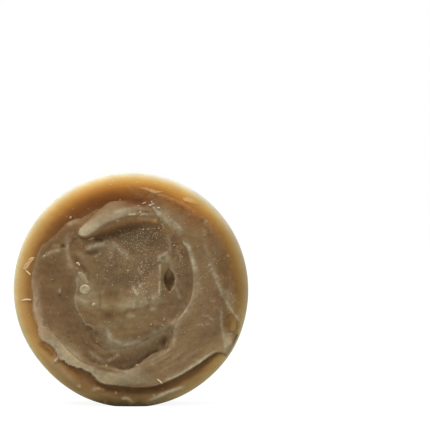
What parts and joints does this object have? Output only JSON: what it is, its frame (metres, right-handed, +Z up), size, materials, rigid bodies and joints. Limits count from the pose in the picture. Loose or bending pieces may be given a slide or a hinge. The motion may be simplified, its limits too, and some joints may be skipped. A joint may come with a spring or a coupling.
{
  "type": "shaving soap puck",
  "caption": "Round puck of hard shaving soap: a smooth cast base with a rounded rim, and softer soap swirled over its dished face with a spatula.",
  "frame": {"origin": "the middle of the small flat on its edge that the puck stands on, half way through the puck's thickness", "axes": "+Z up through the puck's centre, -Y out of the swirled face, +Y out of the flat back face, +X to the right as the face is seen"},
  "size_m": [0.08, 0.026, 0.0795],
  "materials": {
    "cast_soap": "waxy translucent amber soap, smooth from the mould",
    "spread_soap": "waxy taupe-brown soap, spread with a spatula",
    "fold_soap": "waxy light taupe soap",
    "dry_soap": "dry matt pale soap"
  },
  "bodies": {
    "root": {"base_puck": "cast_soap", "spread_layer": "spread_soap", "outer_sweep": "spread_soap", "inner_mound": "spread_soap", "tongue_fold": "fold_soap", "soap_chunks": "fold_soap", "rim_smears": "dry_soap", "rim_flake": "dry_soap", "slivers": "dry_soap", "crumbs": "dry_soap"}
  },
  "joints": []
}
